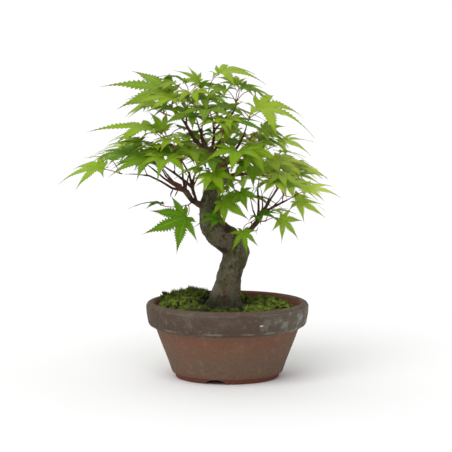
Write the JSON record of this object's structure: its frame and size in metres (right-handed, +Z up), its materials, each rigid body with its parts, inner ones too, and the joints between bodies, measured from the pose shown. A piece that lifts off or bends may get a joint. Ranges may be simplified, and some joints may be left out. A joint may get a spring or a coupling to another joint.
{
  "type": "bonsai maple tree in a pot",
  "caption": "Small Japanese maple bonsai with an S-curved trunk and palmate leaves, in a round terracotta training pot with moss on the soil.",
  "frame": {"origin": "middle of the bottom of the whole part's box, on the surface that the pot stands on", "axes": "+Z up along the tree, -Y towards the tree's best side, +X to the right seen from the best side"},
  "size_m": [0.2742, 0.2328, 0.3012],
  "materials": {
    "terracotta": "weathered, matte",
    "mesh_plastic": "matte black",
    "wire": "anodised brown",
    "pumice": "rough",
    "soil": "rough, damp",
    "moss": "soft, matte",
    "bark": "rough bark",
    "leaf": "satin"
  },
  "bodies": {
    "root": {"pot": "terracotta", "drainage_mesh": "mesh_plastic", "mesh_wire": "wire", "drainage_layer": "pumice", "soil": "soil", "moss_back_left": "moss", "moss_left": "moss", "moss_front_left": "moss", "moss_front": "moss", "moss_front_right": "moss", "moss_right": "moss", "moss_back_right": "moss", "moss_back": "moss", "trunk_and_branches": "bark", "leafy_shoot_01": "leaf", "leafy_shoot_02": "leaf", "leafy_shoot_03": "leaf", "leafy_shoot_04": "leaf", "leafy_shoot_05": "leaf", "leafy_shoot_06": "leaf", "leafy_shoot_07": "leaf", "leafy_shoot_08": "leaf", "leafy_shoot_09": "leaf", "leafy_shoot_10": "leaf", "leafy_shoot_11": "leaf", "leafy_shoot_12": "leaf", "leafy_shoot_13": "leaf", "leafy_shoot_14": "leaf", "leafy_shoot_15": "leaf", "leafy_shoot_16": "leaf", "leafy_shoot_17": "leaf", "leafy_shoot_18": "leaf", "leafy_shoot_19": "leaf", "leafy_shoot_20": "leaf", "leafy_shoot_21": "leaf", "leafy_shoot_22": "leaf", "leafy_shoot_23": "leaf", "leafy_shoot_24": "leaf", "leafy_shoot_25": "leaf", "leafy_shoot_26": "leaf", "leafy_shoot_27": "leaf", "leafy_shoot_28": "leaf", "leafy_shoot_29": "leaf", "leafy_shoot_30": "leaf", "leafy_shoot_31": "leaf", "leafy_shoot_32": "leaf", "leafy_shoot_33": "leaf", "leafy_shoot_34": "leaf", "leafy_shoot_35": "leaf", "leafy_shoot_36": "leaf", "leafy_shoot_37": "leaf", "leafy_shoot_38": "leaf", "leafy_shoot_39": "leaf", "leafy_shoot_40": "leaf", "leafy_shoot_41": "leaf", "leafy_shoot_42": "leaf", "leafy_shoot_43": "leaf"}
  },
  "joints": []
}
